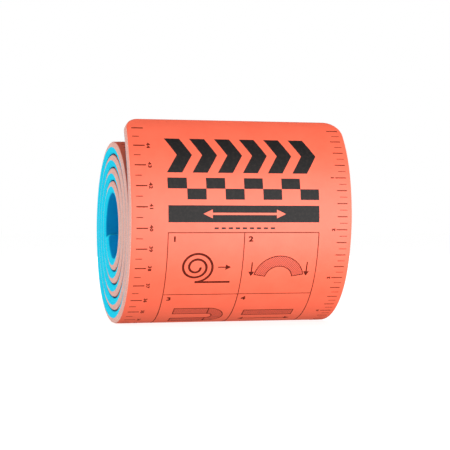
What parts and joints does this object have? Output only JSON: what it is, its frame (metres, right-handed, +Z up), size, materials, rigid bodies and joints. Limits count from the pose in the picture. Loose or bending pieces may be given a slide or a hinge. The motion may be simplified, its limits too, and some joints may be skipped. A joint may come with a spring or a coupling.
{
  "type": "rolled aluminium foam splint",
  "caption": "Rolled mouldable splint: a soft aluminium strip bonded between orange and blue foam sheets, wound to an open-centred roll whose printed free end stands off it.",
  "frame": {"origin": "on the surface that the roll rests on, in the middle of its length and depth", "axes": "+X along the roll's axis, with the centimetre edge at -X; +Y to the back, away from the free end; +Z up"},
  "size_m": [0.1098, 0.0986, 0.0978],
  "materials": {
    "orange_foam": "closed-cell polyethylene foam with a smooth skin, coral orange, black printed rulers",
    "blue_foam": "closed-cell polyethylene foam with a smooth skin, bright cyan blue",
    "soft_aluminium": "bare rolled aluminium strip with sheared edges",
    "black_ink": "flat black printing ink on foam"
  },
  "bodies": {
    "root": {"outer_foam": "orange_foam", "aluminium_core": "soft_aluminium", "inner_foam": "blue_foam"}
  },
  "joints": []
}
